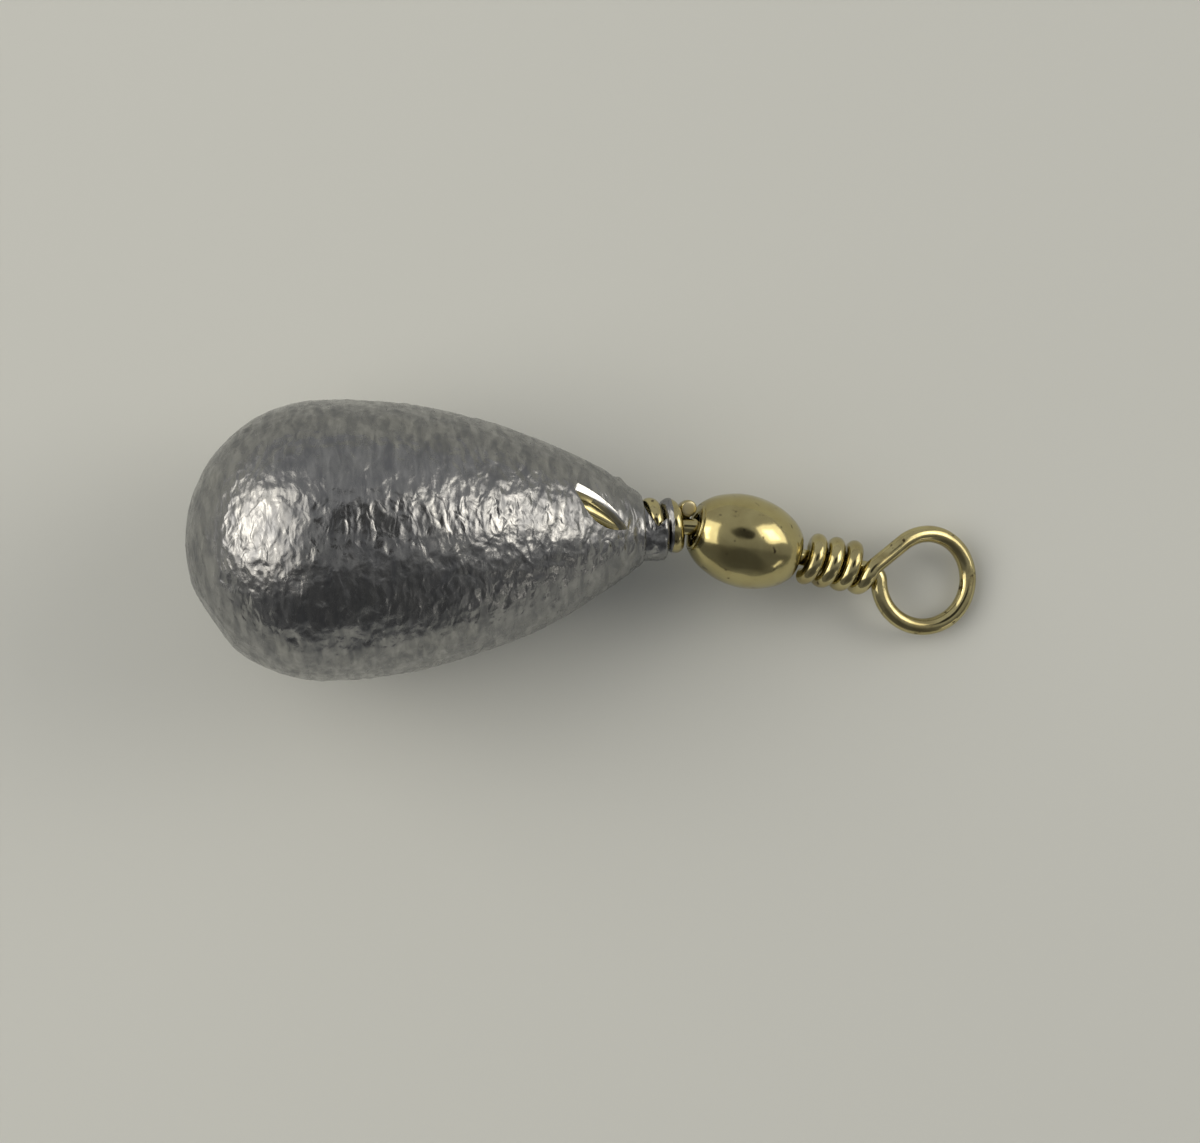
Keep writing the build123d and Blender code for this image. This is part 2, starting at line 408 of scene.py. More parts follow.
def finish_piece(piece, body, node, material):
    """Scales a finished mesh to metres, gives it its material and hands it to its body."""
    piece.data.transform(Matrix.Scale(METRES, 4))
    piece.data.materials.clear()
    piece.data.materials.append(material)
    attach(piece, body)
    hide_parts(node)


# Wire eyes


def wire_stations(hand, turns, crossing_height, loop_from_pivot):
    """Points and headings of a wire in its eye's own axes, from the head to the cut end."""
    across = along * hand
    bend_start = loop_from_pivot - sqrt(loop_radius**2 + 2 * loop_radius * shank_bend_radius)
    bend_middle = up * bend_start - across * shank_bend_radius
    loop_middle = up * loop_from_pivot
    join_way = (loop_middle - bend_middle).normalized()
    far_end = loop_middle + up * loop_radius
    stations = [
        (up * -(pivot_depth + head_float), up),
        (up * bend_start, up),
        (bend_middle + join_way * shank_bend_radius, (side * -hand).cross(join_way)),
        (loop_middle - across * loop_radius, up),
        (far_end, across),
    ]

    # Return strand, in a plane that rises from the far end to cross over the shank
    crossing = up * crossing_height + side * wrap_radius
    back_way = (crossing - far_end).normalized()
    strand_run = (crossing - far_end).length - loop_radius
    leave_turn = pi - acos(loop_radius / strand_run)
    outward = across * sin(leave_turn) - back_way * cos(leave_turn)
    leave = far_end + back_way * loop_radius + outward * loop_radius
    leave_way = (crossing - leave).normalized()
    stations += [(leave, leave_way), (crossing - leave_way * wire_radius, leave_way)]

    # Wraps round the shank, with a station at about each quarter turn
    steps = round((turns * 360 - first_wrap_angle) / 90)
    for step in range(steps + 1):
        angle = radians(first_wrap_angle + (turns * 360 - first_wrap_angle) * step / steps)
        out = along * (-hand * sin(angle)) + side * cos(angle)
        way = along * (-hand * cos(angle)) - side * sin(angle)
        height = crossing_height - wrap_pitch * angle / (2 * pi)
        slope = (way * wrap_radius - up * (wrap_pitch / (2 * pi))).normalized()
        stations.append((out * wrap_radius + up * height, slope))
    return stations


def arc_points(start, way, end):
    """Points along the arc that leaves start in a direction and ends at end, without its last point."""
    chord = end - start
    turn = way.angle(chord)
    if turn < radians(straight_angle):
        count = max(int(chord.length / wire_step), 1)
        return [start + chord * (step / count) for step in range(count)]
    inward = (chord - way * chord.dot(way)).normalized()
    radius = chord.length / (2 * sin(turn))
    count = max(int(2 * turn * radius / wire_step), least_arc_steps)
    points = []
    for step in range(count):
        angle = 2 * turn * step / count
        points.append(start + way * (radius * sin(angle)) + inward * (radius * (1 - cos(angle))))
    return points


def wire_route(stations):
    """Points along lines and pairs of tangent arcs through a wire's stations."""
    route = []
    for (start, start_way), (end, end_way) in zip(stations, stations[1:]):
        run = end - start
        both_ways = start_way + end_way
        turn = 2 * (1 - start_way.dot(end_way))
        if turn < straight_turn:
            route += arc_points(start, start_way, end)
            continue
        run_ahead = run.dot(both_ways)
        reach_each = (sqrt(run_ahead**2 + turn * run.dot(run)) - run_ahead) / turn
        knee_in = start + start_way * reach_each
        knee_out = end - end_way * reach_each
        meet = (knee_in + knee_out) / 2
        route += arc_points(start, start_way, meet)
        route += arc_points(meet, (knee_out - knee_in).normalized(), end)
    route.append(stations[-1][0])
    return route


def rise_and_fall(share, rise_shares, fall_shares):
    """Rises from 0 to 1 between two shares of a run, and falls back to 0 between two later ones."""
    return smooth_step(*rise_shares, share) * (1 - smooth_step(*fall_shares, share))


def lift_strand(route, start, stop, lift):
    """Route whose return strand, between two of its points, is raised by a vector."""
    raised = list(route)
    for index in range(start, stop + 1):
        share = (index - start) / (stop - start)
        raised[index] = route[index] + lift * rise_and_fall(share, strand_rise_shares, strand_fall_shares)
    return raised


def make_eye(name, stations, route, placement):
    """One eye: an upset head, then a round wire with slight unevenness, and a nipped end."""
    start, ahead = stations[0]
    end, end_way = stations[-1]
    rings = [(start + ahead * (rise * head_height), share * head_radius) for rise, share in head_shares]
    for reach, share in zip(head_neck_reaches, head_neck_radius_shares):
        rings.append((start + ahead * reach, wire_radius * share))

    # The rings of the neck stand in for the first points of the route
    for point in route[len(head_neck_reaches):]:
        uneven = wire_uneven_share * noise.noise(point * wire_waves_per_mm)
        rings.append((point, wire_radius * (1 + uneven)))
    for reach, share in zip(nip_reaches, nip_radius_shares):
        rings.append((end + end_way * reach, share * wire_radius))
    points, radii = zip(*rings)
    verts = tube(points, radii, wire_sides)
    verts.append(start - ahead * head_height)
    verts.append(end + end_way * nip_reaches[-1])
    eye = new_object(name, verts, ring_faces(len(points), wire_sides, True, True), placement)
    cut_start = (len(points) - len(nip_reaches) + 1) * wire_sides
    mark_faces(eye, "fresh_cut", lambda face: min(face.vertices) >= cut_start)
    return eye


# Swivel barrel


def bulge_points(start, end, bulge, count):
    """Points on a shallow arc from start to end, without its last point."""
    (x0, y0), (x1, y1) = start, end
    length = hypot(x1 - x0, y1 - y0)
    out = ((y0 - y1) / length, (x1 - x0) / length)
    points = []
    for step in range(count):
        share = step / count
        lift = 4 * bulge * share * (1 - share)
        points.append((x0 + (x1 - x0) * share + out[0] * lift, y0 + (y1 - y0) * share + out[1] * lift))
    return points


def belly_points(half_length, end_radius, middle_radius, count):
    """Points on the arc from one end of the belly over its middle to the other, without its last point."""
    rise = middle_radius - end_radius
    radius = (half_length**2 + rise**2) / (2 * rise)
    turn = asin(half_length / radius)
    points = []
    for step in range(count):
        angle = -turn + 2 * turn * step / count
        points.append((radius * sin(angle), middle_radius - radius * (1 - cos(angle))))
    return points


def round_points(x, y, start_angle):
    """Points on a quarter arc of the rim's rounding about its middle."""
    angles = [radians(start_angle - 90 * step / rim_steps) for step in range(rim_steps + 1)]
    return [(x + rim_round * cos(angle), y + rim_round * sin(angle)) for angle in angles]


def barrel_profile():
    """Section of the barrel's wall as places along the axis and radii, right round it."""
    rim_x = barrel_length / 2
    round_x = rim_x - rim_round
    cavity_x = rim_x - end_wall
    cavity_end = (shoulder_radius - barrel_wall) * cavity_end_share
    left, right = (-shoulder_from_middle, shoulder_radius), (shoulder_from_middle, shoulder_radius)
    profile = belly_points(shoulder_from_middle, shoulder_radius, barrel_radius, belly_steps)
    profile += bulge_points(right, (rim_x, rim_radius), shoulder_bulge, shoulder_steps)
    profile += round_points(round_x, rim_radius - rim_round, rim_round_start)
    profile += round_points(round_x, hole_radius + rim_round, 0)
    profile += [(cavity_x, hole_radius), (cavity_x, cavity_end)]
    profile += belly_points(-cavity_x, cavity_end, barrel_radius - barrel_wall, cavity_steps)
    profile += [(-cavity_x, cavity_end), (-cavity_x, hole_radius)]
    profile += round_points(-round_x, hole_radius + rim_round, 270)
    profile += round_points(-round_x, rim_radius - rim_round, 180)
    return profile + bulge_points((-rim_x, rim_radius), left, shoulder_bulge, shoulder_steps)[1:]


def make_barrel():
    """Barrel: a thin tube closed in at both ends, with rounded rims and slight dents."""
    profile = barrel_profile()
    verts = []
    for x, radius in profile:
        for step in range(barrel_segments):
            angle = 2 * pi * step / barrel_segments
            point = Vector((x, radius * cos(angle), radius * sin(angle)))
            dent = barrel_dent_share * noise.noise(point * barrel_dents_per_mm)
            dent += barrel_ripple_share * noise.noise(point * barrel_ripples_per_mm)
            swell = 1 + dent * smooth_step(hole_radius, shoulder_radius, radius)
            verts.append((x, point.y * swell, point.z * swell))
    faces = ring_faces(len(profile), barrel_segments, False, False)
    last = (len(profile) - 1) * barrel_segments
    for step in range(barrel_segments):
        after = (step + 1) % barrel_segments
        faces.append((last + step, last + after, after, step))
    middle = (first_pivot + second_pivot) / 2
    side_way = barrel_way.cross(up).normalized()
    placement = axes(middle, barrel_way, side_way, barrel_way.cross(side_way))
    return new_object("swivel_barrel_shell", verts, faces, placement)


# Lead body

nose_drop = lead_radius - neck_radius
nose_arc_radius = (nose_length**2 + nose_drop**2) / (2 * nose_drop)
nose_arc_depth = nose_arc_radius - lead_radius
butt_run = lead_radius * pi / 2
nose_run = nose_arc_radius * asin(nose_length / nose_arc_radius)
collar_start = butt_run + nose_run + neck_radius - collar_radius
collar_end = collar_start + collar_length - collar_round + collar_round * pi / 2
lead_run = collar_end + collar_radius - collar_round


def lead_profile(run):
    """Place along the axis and radius of the turned lead shape, by distance along its outline."""
    if run < butt_run:
        angle = run / lead_radius
        return -lead_radius * cos(angle), lead_radius * sin(angle)
    run -= butt_run
    if run < nose_run:
        angle = run / nose_arc_radius
        return nose_arc_radius * sin(angle), nose_arc_radius * cos(angle) - nose_arc_depth
    run -= nose_run
    if run < neck_radius - collar_radius:
        return nose_length, neck_radius - run
    run -= neck_radius - collar_radius
    if run < collar_length - collar_round:
        return nose_length + run, collar_radius
    run -= collar_length - collar_round
    if run < collar_round * pi / 2:
        angle = run / collar_round
        x = nose_length + collar_length - collar_round * (1 - sin(angle))
        return x, collar_radius - collar_round * (1 - cos(angle))
    return nose_length + collar_length, max(collar_radius - collar_round * (1 - pi / 2) - run, 0)


def ring_runs():
    """Distances along the outline of the casting's rings, closer together round the neck and collar."""
    fine_start = butt_run + nose_run - fine_reach
    runs = [fine_start * step / coarse_rings for step in range(1, coarse_rings)]
    runs += [fine_start + (collar_end - fine_start) * step / fine_rings for step in range(fine_rings + 1)]
    return runs + [collar_end + (lead_run - collar_end) * share for share in collar_end_shares]


def nose_radius(x):
    """Radius of the turned nose at x along its axis."""
    return sqrt(nose_arc_radius**2 - x**2) - nose_arc_depth


def surface_place(x, turn):
    """Point on the turned shape at x along its axis and turned from the top towards +Y."""
    radius = nose_radius(x) if x > 0 else sqrt(lead_radius**2 - x**2)
    return Vector((x, radius * sin(radians(turn)), radius * cos(radians(turn))))


mark_places = [(surface_place(x, turn), width, height) for x, turn, width, height in lead_marks]


def lead_relief(point, radius):
    """Height of the cast surface over the turned shape at a point in the lead's own axes."""
    relief = swell_height * unevenness(point, swell_length, swell_shift)
    relief += hollow_height * unevenness(point, hollow_length)
    drift = up * unevenness(point, drift_length, drift_shift)
    relief += wrinkle_height * unevenness(point, wrinkle_length, drift)
    relief += fine_wrinkle_height * unevenness(point, fine_wrinkle_length, fine_wrinkle_shift + drift)

    # Ridges round the casting, strongest on the belly, and short streaks beside them
    ring_share = smooth_step(*ring_rise, point.x) * (1 - smooth_step(*ring_fall, point.x))
    wander = ring_wander_share * unevenness(point, ring_wander_length)
    rings = sin(2 * pi * (point.x / ring_pitch + wander))
    rings *= ring_steady_share + ring_patch_share * unevenness(point, ring_patch_length, ring_patch_shift)
    arc = atan2(point.y, point.z) * radius
    streaks = noise.noise(Vector((point.x / streak_width, arc / streak_length, streak_shift)))
    relief += (ring_height * rings + ring_streak_height * streaks) * ring_share
    relief += plain_streak_height * streaks * (1 - ring_share)

    # Lip round the neck, and the collar's uneven skin
    lip = (point.x - nose_length + lip_from_neck) / lip_width
    relief += lip_height * exp(-lip * lip) * (1 + unevenness(point, lip_grain))
    collar_share = smooth_step(nose_length, nose_length + collar_skin_rise, point.x)
    relief += collar_skin_height * unevenness(point, collar_skin_length) * collar_share

    # Mould seam along both sides
    seam = abs(point.z) / seam_width
    ragged_share = (1 + noise.noise(Vector((point.x / seam_grain, point.y, 0)))) / 2
    relief += seam_height * exp(-seam * seam) * ragged_share * smooth_step(*seam_rise, point.x)
    for place, width, height in mark_places:
        relief += height * exp(-((point - place).length / width) ** 2)
    return relief * smooth_step(*relief_fade, radius)


def make_lead_skin():
    """Outside of the casting: the turned shape with its relief and the flat of the nipped gate."""
    gate_way = -along * cos(radians(gate_flat_turn)) - side * sin(radians(gate_flat_turn))
    gate_reach = sqrt(lead_radius**2 - (gate_flat_diameter / 2) ** 2)
    verts = []
    runs = ring_runs()
    for run in runs:
        x, radius = lead_profile(run)
        for step in range(lead_segments):
            angle = 2 * pi * step / lead_segments
            out = Vector((0, sin(angle), cos(angle)))
            if x < 0:
                out = Vector((x, radius * out.y, radius * out.z)).normalized()
            point = Vector((x, radius * sin(angle), radius * cos(angle)))
            point += out * lead_relief(point, hypot(radius, min(x, 0)))
            over = point.dot(gate_way) - gate_reach
            over -= gate_flat_roughness * unevenness(point, gate_flat_grain)
            if over > 0:
                point -= gate_way * over
            verts.append(point)
    verts.append(Vector((-lead_radius, 0, 0)))
    verts.append(Vector((nose_length + collar_length, 0, 0)))
    lead = new_object("lead_casting", verts, ring_faces(len(runs), lead_segments, True, True), lead_axes)
    mark_faces(lead, "smooth_with_painted_highlight", lambda face: False)
    return lead


def slit_axes(strand_point):
    """Axes of the slit, square to the nose over a point of the strand, and the lead's depth there."""
    offset = strand_point - lead_middle
    from_middle = offset.dot(lead_way)
    out = offset - lead_way * from_middle
    from_arc_middle = hypot(from_middle, out.length + nose_arc_depth)
    cover = nose_arc_radius - from_arc_middle
    slope = asin(from_middle / from_arc_middle)
    out.normalize()
    slit_out = out * cos(slope) + lead_way * sin(slope)
    slit_down = lead_way * cos(slope) - out * sin(slope)
    slit_round = slit_out.cross(slit_down)
    slit_way = slit_down * cos(radians(slit_slant)) - slit_round * sin(radians(slit_slant))
    slit_across = slit_out.cross(slit_way)
    origin = strand_point + slit_out * cover - slit_way * slit_back - slit_across * slit_aside
    return axes(origin, slit_way, slit_across, slit_out), cover


def nose_height(x, y, placement):
    """Height of the turned nose over the slit's own plane, at a place in that plane."""
    to_lead = lead_axes.inverted() @ placement
    height = 0.0
    for _ in range(slit_height_steps):
        point = to_lead @ Vector((x, y, height))
        height -= hypot(point.y, point.z) - nose_radius(point.x)
    return height


def slit_cutter(depth, placement):
    """Closed shape of the slit, with a smooth lip that slopes in on its upper side."""
    half = slit_length / 2
    levels = [(-depth, 0.0)]
    levels += [(-slit_lip_depth * depth_share, share) for depth_share, share in slit_lip_shares]
    levels.append((slit_overrun, slit_overrun_share))
    verts = []
    for height, share in levels:
        outline = []
        for x, y in bulge_points((half, 0), (-half, 0), -slit_inner_bulge, slit_steps):
            blunt = smooth_step(-half, -half * slit_blunt_share, x) * (half - x) / slit_length
            outline.append((x, y + slit_lip_width * share * blunt))
        outline += bulge_points((-half, 0), (half, 0), -slit_lower_bulge, slit_steps)
        verts += [(x, y, nose_height(x, y, placement) + height) for x, y in outline]
    middle = (slit_inner_bulge - slit_lower_bulge) / 2
    verts += [(0, middle, -depth), (0, middle, slit_overrun)]
    return new_object("slit", verts, ring_faces(len(levels), 2 * slit_steps, True, True), placement)


def make_film(stations):
    """Thin lead over the inner half of one turn of the wraps, with a ragged edge."""
    first, last = [first_wrap_station + quarter for quarter in film_quarter_turns]
    route = wire_route(stations[first:last + 1])
    radii = []
    for index in range(len(route)):
        cover = rise_and_fall(index / (len(route) - 1), film_rise_shares, film_fall_shares)
        radii.append(wire_radius - film_sink + (film_thickness + film_sink) * cover)
    film = closed_tube("film", route, radii, film_sides, cast_in_axes)
    edge = []
    for step in range(film_edge_steps + 1):
        reach = -film_cut_reach + 2 * film_cut_reach * step / film_edge_steps
        ragged = noise.noise(Vector((reach / film_edge_grain, film_edge_shift, 0)))
        edge.append((film_end + film_edge_roughness * ragged, reach))
    edge += [(film_end + film_cut_reach, film_cut_reach), (film_end + film_cut_reach, -film_cut_reach)]
    boolean(film, prism("film_edge", edge, film_cut_height, lead_axes), "DIFFERENCE")
    wire = wire_route(stations[first - 1:last + 2])
    room_radii = [wire_radius + film_clearance] * len(wire)
    boolean(film, closed_tube("wire_room", wire, room_radii, film_sides, cast_in_axes), "DIFFERENCE")
    return film


def make_lead(stations, channel):
    """Lead casting, with room for the wire, the slit, and the collar open on one side."""
    lead = make_lead_skin()

    # Open side of the collar, with an uneven edge
    opening = [(collar_edge[0][0], collar_cut_reach), *collar_edge, (collar_edge_end, collar_open_height)]
    opening.append((collar_cut_length, collar_open_height + collar_edge_rise))
    opening.append((collar_cut_length, collar_cut_reach))
    cut_axes = lead_axes @ Matrix.Translation(along * nose_length)
    boolean(lead, prism("collar_opening", opening, collar_cut_reach, cut_axes), "DIFFERENCE")

    # Slit over the wire
    strand_point = cast_in_axes @ stations[strand_leave_station][0]
    placement, cover = slit_axes(strand_point)
    cutter = slit_cutter(cover, placement)
    # The slit's walls are marked smooth and take a pale colour that is a painted highlight
    mark_faces(cutter, "smooth_with_painted_highlight", lambda face: True)
    boolean(lead, cutter, "DIFFERENCE")

    # Seat of the wraps and channel of the loop
    seat_top = cast_in_crossing + wire_radius
    seat = [up * (seat_top * step / seat_steps) for step in range(seat_steps + 1)]
    seat_radii = [wrap_radius + wire_radius + wrap_seat_clearance] * len(seat)
    boolean(lead, closed_tube("wrap_seat", seat, seat_radii, seat_sides, cast_in_axes), "DIFFERENCE")
    radii = [wire_radius + channel_clearance] * len(channel)
    boolean(lead, closed_tube("loop_channel", channel, radii, channel_sides, cast_in_axes), "DIFFERENCE")
    boolean(lead, make_film(stations), "UNION")
    lead.data.polygons.foreach_set("use_smooth", [True] * len(lead.data.polygons))
    lead.data.set_sharp_from_angle(angle=radians(sharp_edge_angle))
    return lead


# Materials

# Lead: ramps from a pattern's value to a colour, a roughness or a share, and depths of bumps
lead_greys = [(0.3, (0.2, 0.203, 0.21)), (0.5, (0.272, 0.273, 0.272)), (0.7, (0.37, 0.368, 0.36))]
lead_tints = [(0.35, (0.82, 0.83, 0.87)), (0.65, (1.0, 1.0, 0.985))]
lead_roughness = [(0.3, 0.32), (0.7, 0.2)]
lead_bump_shares = [(0.07, 1.0), (0.13, 0.75), (0.30, 0.75), (0.38, 1.0)]
lead_wrinkle_depth = 0.07
lead_fold_depth = 0.045
lead_grain_depth = 0.01
fold_smoothness = 0.35

# Where the lead is smooth, on the slit's walls; their pale colour is a painted highlight, not the lead's
# own grey
slit_painted_highlight_colour = (0.74, 0.74, 0.725)
smooth_lead_roughness = 0.3
smooth_lead_bump_share = 0.04

# Brass: polished and stained colours, and roughness from low to high
wire_brass_look = ((0.56, 0.49, 0.25), (0.36, 0.30, 0.14), (0.09, 0.23))
barrel_brass_look = ((0.49, 0.43, 0.21), (0.41, 0.35, 0.165), (0.11, 0.2))
stain_shares = [(0.42, 0.0), (0.68, 1.0)]
speck_shares = [(0.655, 0.0), (0.715, 1.0)]
worn_range = (0.35, 0.75)
speck_colour = (0.10, 0.075, 0.035)
cut_colour = (0.62, 0.55, 0.34)
cut_roughness = 0.42
brass_ripple_depth = 0.07
brass_stain_depth = 0.006

# Place along the frame, as a share that runs from 0 to 1 over one thirtieth of a metre about its middle
place_scale = (30, 1, 1)
place_middle_share = (0.5, 0, 0)

# Sockets of a Mix node when it mixes colours
MIX_SHARE = 0
MIX_FIRST = 6
MIX_SECOND = 7
MIX_RESULT = 2


def new_material(name):
    """Metal material with its nodes, links and shader."""
    material = bpy.data.materials.new(name)
    material.use_nodes = True
    nodes = material.node_tree.nodes
    shader = nodes["Principled BSDF"]
    shader.inputs["Metallic"].default_value = 1.0
    return material, nodes, material.node_tree.links, shader


def full_colour(level):
    """Colour with its alpha, from a colour or a grey level."""
    return (*level, 1.0) if isinstance(level, tuple) else (level, level, level, 1.0)


def stretched(nodes, links, stretch, shift=(0, 0, 0)):
    """The object's own coordinates, scaled along each axis and then shifted."""
    coordinates = nodes.new("ShaderNodeTexCoord")
    mapping = nodes.new("ShaderNodeMapping")
    mapping.inputs["Location"].default_value = shift
    mapping.inputs["Scale"].default_value = stretch
    links.new(coordinates.outputs["Object"], mapping.inputs["Vector"])
    return mapping.outputs["Vector"]


def place_along(nodes, links):
    """Share of the way along the frame, from the butt's end to the line eye's end."""
    split = nodes.new("ShaderNodeSeparateXYZ")
    links.new(stretched(nodes, links, place_scale, place_middle_share), split.inputs["Vector"])
    return split.outputs["X"]


def noise_node(nodes, links, scale, detail, roughness, distortion=0.0, stretch=(1, 1, 1)):
    """Noise over the object's own coordinates, with scale in cycles a metre."""
    texture = nodes.new("ShaderNodeTexNoise")
    texture.inputs["Scale"].default_value = scale
    texture.inputs["Detail"].default_value = detail
    texture.inputs["Roughness"].default_value = roughness
    texture.inputs["Distortion"].default_value = distortion
    links.new(stretched(nodes, links, stretch), texture.inputs["Vector"])
    return texture.outputs["Fac"]


def facet_node(nodes, links, scale, smoothness, stretch):
    """Crumpled facets over the object's own coordinates, with scale in cells a metre."""
    texture = nodes.new("ShaderNodeTexVoronoi")
    texture.feature = "SMOOTH_F1"
    texture.inputs["Scale"].default_value = scale
    texture.inputs["Smoothness"].default_value = smoothness
    links.new(stretched(nodes, links, stretch), texture.inputs["Vector"])
    return texture.outputs["Distance"]


def ramp_node(nodes, links, value, stops):
    """Colour ramp over a value, from a list of positions and grey levels or colours."""
    ramp = nodes.new("ShaderNodeValToRGB")
    links.new(value, ramp.inputs["Fac"])
    elements = ramp.color_ramp.elements
    while len(elements) < len(stops):
        elements.new(1.0)
    for element, (position, level) in zip(elements, stops):
        element.position = position
        element.color = full_colour(level)
    return ramp.outputs["Color"]


def bump_node(nodes, links, height, depth, under=None, strength=None):
    """Bump of a depth, over another bump where one is given."""
    bump = nodes.new("ShaderNodeBump")
    bump.inputs["Distance"].default_value = depth * METRES
    links.new(height, bump.inputs["Height"])
    if strength is not None:
        links.new(strength, bump.inputs["Strength"])
    if under is not None:
        links.new(under, bump.inputs["Normal"])
    return bump.outputs["Normal"]


def mix_node(nodes, links, share, first, second, blend="MIX"):
    """Mix by a share of two colours, each a socket, a colour or a grey level."""
    mix = nodes.new("ShaderNodeMix")
    mix.data_type = "RGBA"
    mix.blend_type = blend
    links.new(share, mix.inputs[MIX_SHARE])
    for source, socket in ((first, mix.inputs[MIX_FIRST]), (second, mix.inputs[MIX_SECOND])):
        if isinstance(source, (tuple, float)):
            socket.default_value = full_colour(source)
        else:
            links.new(source, socket)
    return mix.outputs[MIX_RESULT]


def attribute_node(nodes, name):
    """Value of a face attribute."""
    attribute = nodes.new("ShaderNodeAttribute")
    attribute.attribute_name = name
    return attribute.outputs["Fac"]


def lead_material():
    """Cast lead: grey, wrinkled like foil, duller and shinier by patches, and smooth where it ran short, on
    the slit's walls, which are given a pale colour as a painted highlight.
    """
    material, nodes, links, shader = new_material("cast_lead")
    patches = noise_node(nodes, links, scale=600, detail=3, roughness=0.55, distortion=0.4)
    mottles = noise_node(
        nodes, links, scale=2000, detail=2, roughness=0.5, distortion=0.4, stretch=(1.5, 0.5, 0.5)
    )
    wrinkles = noise_node(
        nodes, links, scale=1900, detail=1.5, roughness=0.5, distortion=0.7, stretch=(1.3, 0.8, 0.8)
    )
    folds = facet_node(nodes, links, scale=2300, smoothness=fold_smoothness, stretch=(1.2, 0.85, 0.85))
    grain = noise_node(nodes, links, scale=6500, detail=2, roughness=0.5)
    # Share of the slit's walls: smoother, and painted with a pale highlight colour
    smooth = attribute_node(nodes, "smooth_with_painted_highlight")

    grey = ramp_node(nodes, links, mottles, lead_greys)
    tint = ramp_node(nodes, links, patches, lead_tints)
    skin = mix_node(nodes, links, patches, grey, tint, "MULTIPLY")
    # Base colour: the lead's grey, with a pale painted highlight on the slit's walls
    links.new(mix_node(nodes, links, smooth, skin, slit_painted_highlight_colour), shader.inputs["Base Color"])
    dull = ramp_node(nodes, links, mottles, lead_roughness)
    links.new(mix_node(nodes, links, smooth, dull, smooth_lead_roughness), shader.inputs["Roughness"])

    calm = ramp_node(nodes, links, place_along(nodes, links), lead_bump_shares)
    strength = mix_node(nodes, links, smooth, calm, smooth_lead_bump_share)
    grained = bump_node(nodes, links, grain, lead_grain_depth, strength=strength)
    creased = bump_node(nodes, links, folds, lead_fold_depth, grained, strength)
    wrinkled = bump_node(nodes, links, wrinkles, lead_wrinkle_depth, creased, strength)
    links.new(wrinkled, shader.inputs["Normal"])
    return material


def brass_material(name, colour, stained_colour, roughness):
    """Polished brass, with duller stains, dark specks, fine unevenness and a paler cut end."""
    material, nodes, links, shader = new_material(name)
    stains = noise_node(nodes, links, scale=700, detail=4, roughness=0.6, distortion=0.6)
    specks = noise_node(nodes, links, scale=2600, detail=3, roughness=0.5)
    ripples = noise_node(nodes, links, scale=500, detail=2, roughness=0.5)
    cut = attribute_node(nodes, "fresh_cut")

    stained = ramp_node(nodes, links, stains, stain_shares)
    speckled = ramp_node(nodes, links, specks, speck_shares)
    polished = mix_node(nodes, links, stained, colour, stained_colour)
    skin = mix_node(nodes, links, speckled, polished, speck_colour)
    links.new(mix_node(nodes, links, cut, skin, cut_colour), shader.inputs["Base Color"])
    worn = ramp_node(nodes, links, stains, list(zip(worn_range, roughness)))
    links.new(mix_node(nodes, links, cut, worn, cut_roughness), shader.inputs["Roughness"])

    rippled = bump_node(nodes, links, ripples, brass_ripple_depth)
    links.new(bump_node(nodes, links, stains, brass_stain_depth, rippled), shader.inputs["Normal"])
    return material


# Stage

window_colour = (1.0, 0.94, 0.835)
floor_colour = (0.65, 0.665, 0.635)
floor_roughness = 0.9
floor_specular = 0.2

# Room: light levels by the share of the way round from -Y to +Y, and by nearness to two darker places
room_levels = [
    (0.012, 0.28), (0.03, 0.16), (0.29, 0.16), (0.335, 0.28), (0.45, 0.335), (0.62, 0.43), (1.0, 0.46),
]
behind_way = Vector((0.0, -0.83, 0.55))
behind_levels = [(0.84, 1.0), (0.90, 0.62)]
overhead_way = Vector((0.25, 0.22, 0.94))
overhead_levels = [(0.952, 1.0), (0.97, 0.1)]
backdrop_colour = (0.50, 0.49, 0.45)
black = 0.0


def add_floor():
    """Pale floor under the object."""
    half = floor_size * METRES / 2
    mesh = bpy.data.meshes.new("floor")
    low = floor_height * METRES
    corners = [(-half, -half, low), (half, -half, low), (half, half, low), (-half, half, low)]
    mesh.from_pydata(corners, [], [(0, 1, 2, 3)])
    floor = bpy.data.objects.new("floor", mesh)
    bpy.context.scene.collection.objects.link(floor)
    material = bpy.data.materials.new("floor")
    material.use_nodes = True
    shader = material.node_tree.nodes["Principled BSDF"]
    shader.inputs["Base Color"].default_value = full_colour(floor_colour)
    shader.inputs["Roughness"].default_value = floor_roughness
    shader.inputs["Specular IOR Level"].default_value = floor_specular
    mesh.materials.append(material)


def add_window(name, towards, distance, width, height, power):
    """Soft rectangular light, seen from the object in a given direction."""
    lamp = bpy.data.lights.new(name, "AREA")
    lamp.shape = "RECTANGLE"
    lamp.size = width * METRES
    lamp.size_y = height * METRES
    lamp.energy = power
    lamp.color = window_colour
    light = bpy.data.objects.new(name, lamp)
    way = Vector(towards).normalized()
    light.location = way * (distance * METRES)
    light.rotation_mode = "QUATERNION"
    light.rotation_quaternion = way.to_track_quat("Z", "Y")
    bpy.context.scene.collection.objects.link(light)


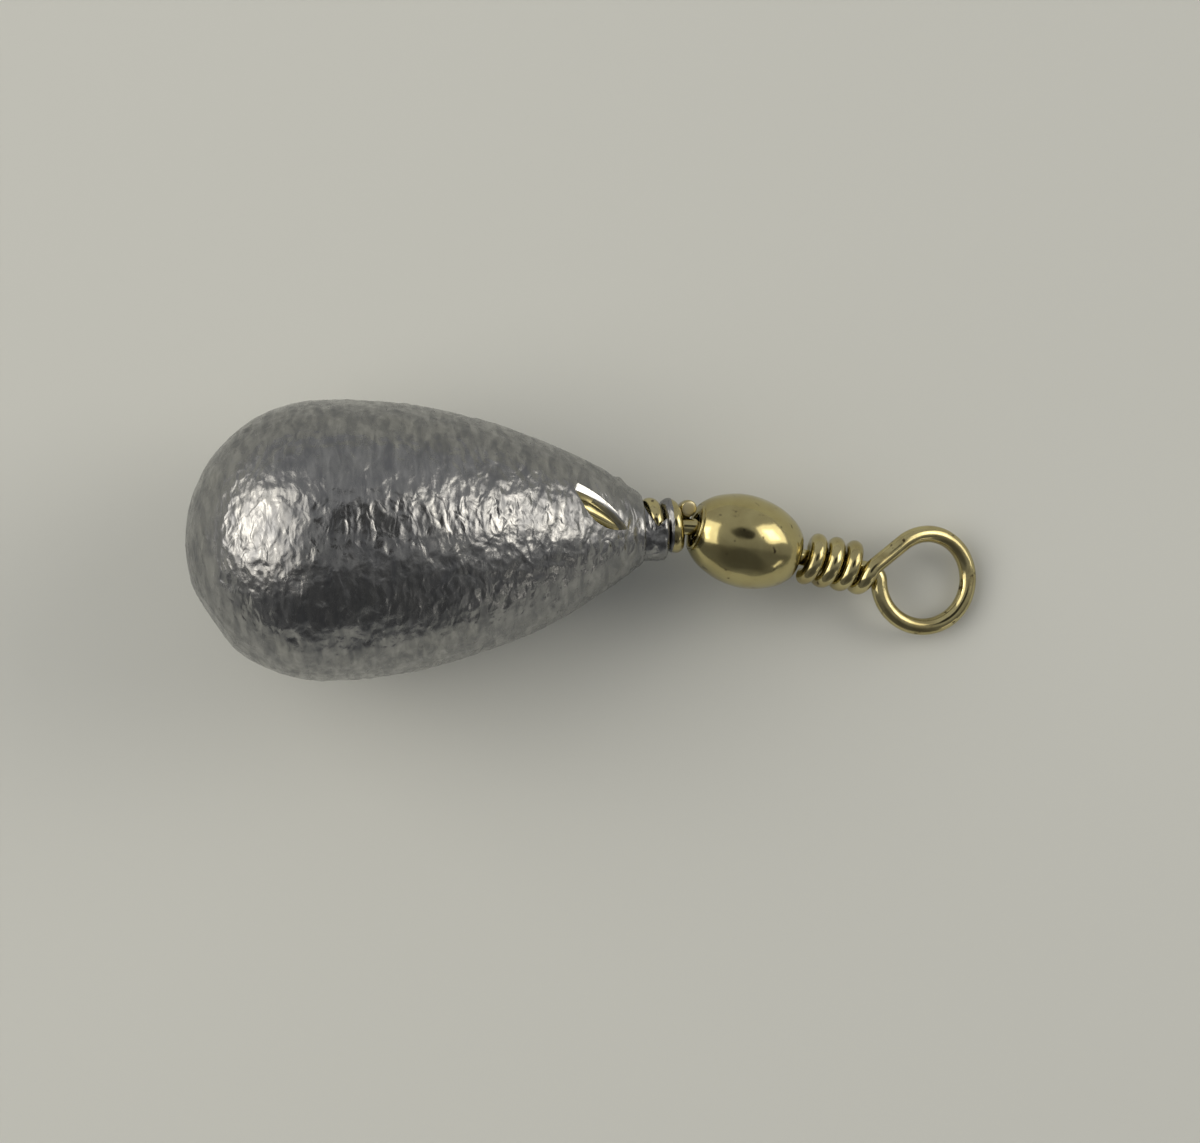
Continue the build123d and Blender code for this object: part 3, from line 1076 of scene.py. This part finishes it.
def add_world():
    """Dim room, lighter towards +Y, with a dark shape on the -Y side and a small one overhead."""
    world = bpy.data.worlds.new("room")
    bpy.context.scene.world = world
    world.use_nodes = True
    nodes, links = world.node_tree.nodes, world.node_tree.links
    coordinates = nodes.new("ShaderNodeTexCoord")

    def nearness(way):
        """Cosine of the angle from a direction."""
        product = nodes.new("ShaderNodeVectorMath")
        product.operation = "DOT_PRODUCT"
        product.inputs[1].default_value = way.normalized()
        links.new(coordinates.outputs["Generated"], product.inputs[0])
        return product.outputs["Value"]

    # A cosine from -1 to 1 as a share from 0 to 1
    share = nodes.new("ShaderNodeMath")
    share.operation = "MULTIPLY_ADD"
    share.inputs[1].default_value = 0.5
    share.inputs[2].default_value = 0.5
    links.new(nearness(side), share.inputs[0])
    room = ramp_node(nodes, links, share.outputs[0], room_levels)
    behind = ramp_node(nodes, links, nearness(behind_way), behind_levels)
    overhead = ramp_node(nodes, links, nearness(overhead_way), overhead_levels)
    darkened = mix_node(nodes, links, behind, black, room)
    inside = mix_node(nodes, links, overhead, black, darkened)
    rays = nodes.new("ShaderNodeLightPath")
    seen = mix_node(nodes, links, rays.outputs["Is Camera Ray"], inside, backdrop_colour)
    links.new(seen, nodes["Background"].inputs["Color"])


def add_camera():
    """Camera straight above the object, with the photograph's framing."""
    data = bpy.data.cameras.new("camera")
    data.sensor_width = sensor_width
    data.lens = sensor_width * (camera_place.z - lead_middle.z) / frame_width
    data.clip_start = camera_clip * METRES
    camera = bpy.data.objects.new("camera", data)
    camera.location = camera_place * METRES
    camera.rotation_euler = (0, 0, radians(camera_roll))
    bpy.context.scene.collection.objects.link(camera)
    bpy.context.scene.camera = camera


# The object

line_stations = wire_stations(1, line_eye_turns, line_eye_crossing, line_eye_reach)
cast_in_stations = wire_stations(-1, cast_in_eye_turns, cast_in_crossing, cast_in_reach)
wire_brass = brass_material("brass_wire", *wire_brass_look)
barrel_brass = brass_material("brass_barrel", *barrel_brass_look)

strand_start = len(wire_route(cast_in_stations[:far_end_station + 1])) - 1
strand_stop = len(wire_route(cast_in_stations[:first_wrap_station + 1])) - 1
lift = cast_in_axes.to_3x3().inverted() @ up * strand_lift
cast_in_route = lift_strand(wire_route(cast_in_stations), strand_start, strand_stop, lift)
lead = make_lead(cast_in_stations, cast_in_route[:strand_stop + 1:channel_stride])
finish_piece(lead, "sinker", "lead_body", lead_material())
cast_in_eye = make_eye("cast_in_eye_wire", cast_in_stations, cast_in_route, cast_in_axes)
finish_piece(cast_in_eye, "sinker", "cast_in_eye", wire_brass)
finish_piece(make_barrel(), "barrel", "swivel_barrel", barrel_brass)
line_eye = make_eye("line_eye_wire", line_stations, wire_route(line_stations), line_eye_axes)
finish_piece(line_eye, "eye", "line_eye", wire_brass)

# The scene

add_floor()
for name, window in windows.items():
    add_window(name, *window)
add_world()
add_camera()
bpy.context.scene.view_settings.view_transform = "Standard"
